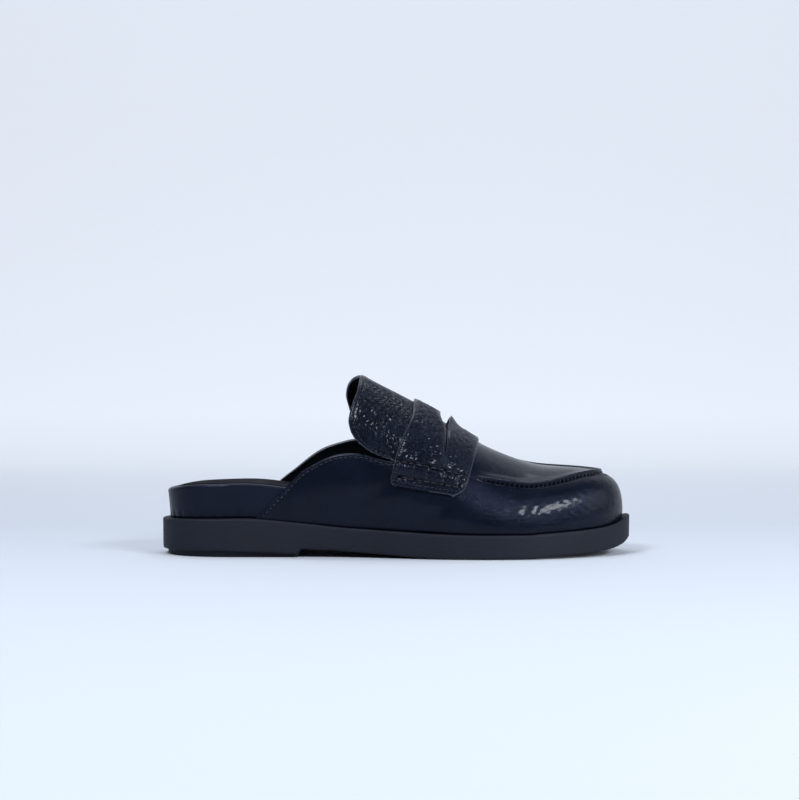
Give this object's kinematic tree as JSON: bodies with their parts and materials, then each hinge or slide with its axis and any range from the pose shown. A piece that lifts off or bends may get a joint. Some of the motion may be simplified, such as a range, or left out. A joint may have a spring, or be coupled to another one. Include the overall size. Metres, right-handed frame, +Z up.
{
  "type": "loafer mule",
  "caption": "Black leather loafer mule, right shoe: moc-toe vamp, wide tongue, saddle strap with a slot, open heel, wrapped footbed and rubber unit sole.",
  "frame": {"origin": "on the floor, in the middle of the outsole's plan", "axes": "+X to the toe, +Y to the inner (medial) side, +Z up from the floor"},
  "size_m": [0.27, 0.099, 0.1029],
  "materials": {
    "outsole_rubber": "moulded matte rubber with fine level striations",
    "footbed_wrap": "smooth satin leather wrap over a cork and foam midsole",
    "insole_leather": "soft matte sock leather",
    "upper_leather": "glossy crinkled black leather",
    "tongue_leather": "crinkled black leather, half gloss",
    "strap_leather": "crinkled black leather, half gloss, cut edges painted"
  },
  "bodies": {
    "root": {"outsole": "outsole_rubber", "footbed": "footbed_wrap", "insole": "insole_leather", "upper": "upper_leather", "tongue": "tongue_leather", "saddle_strap": "strap_leather"}
  },
  "joints": []
}
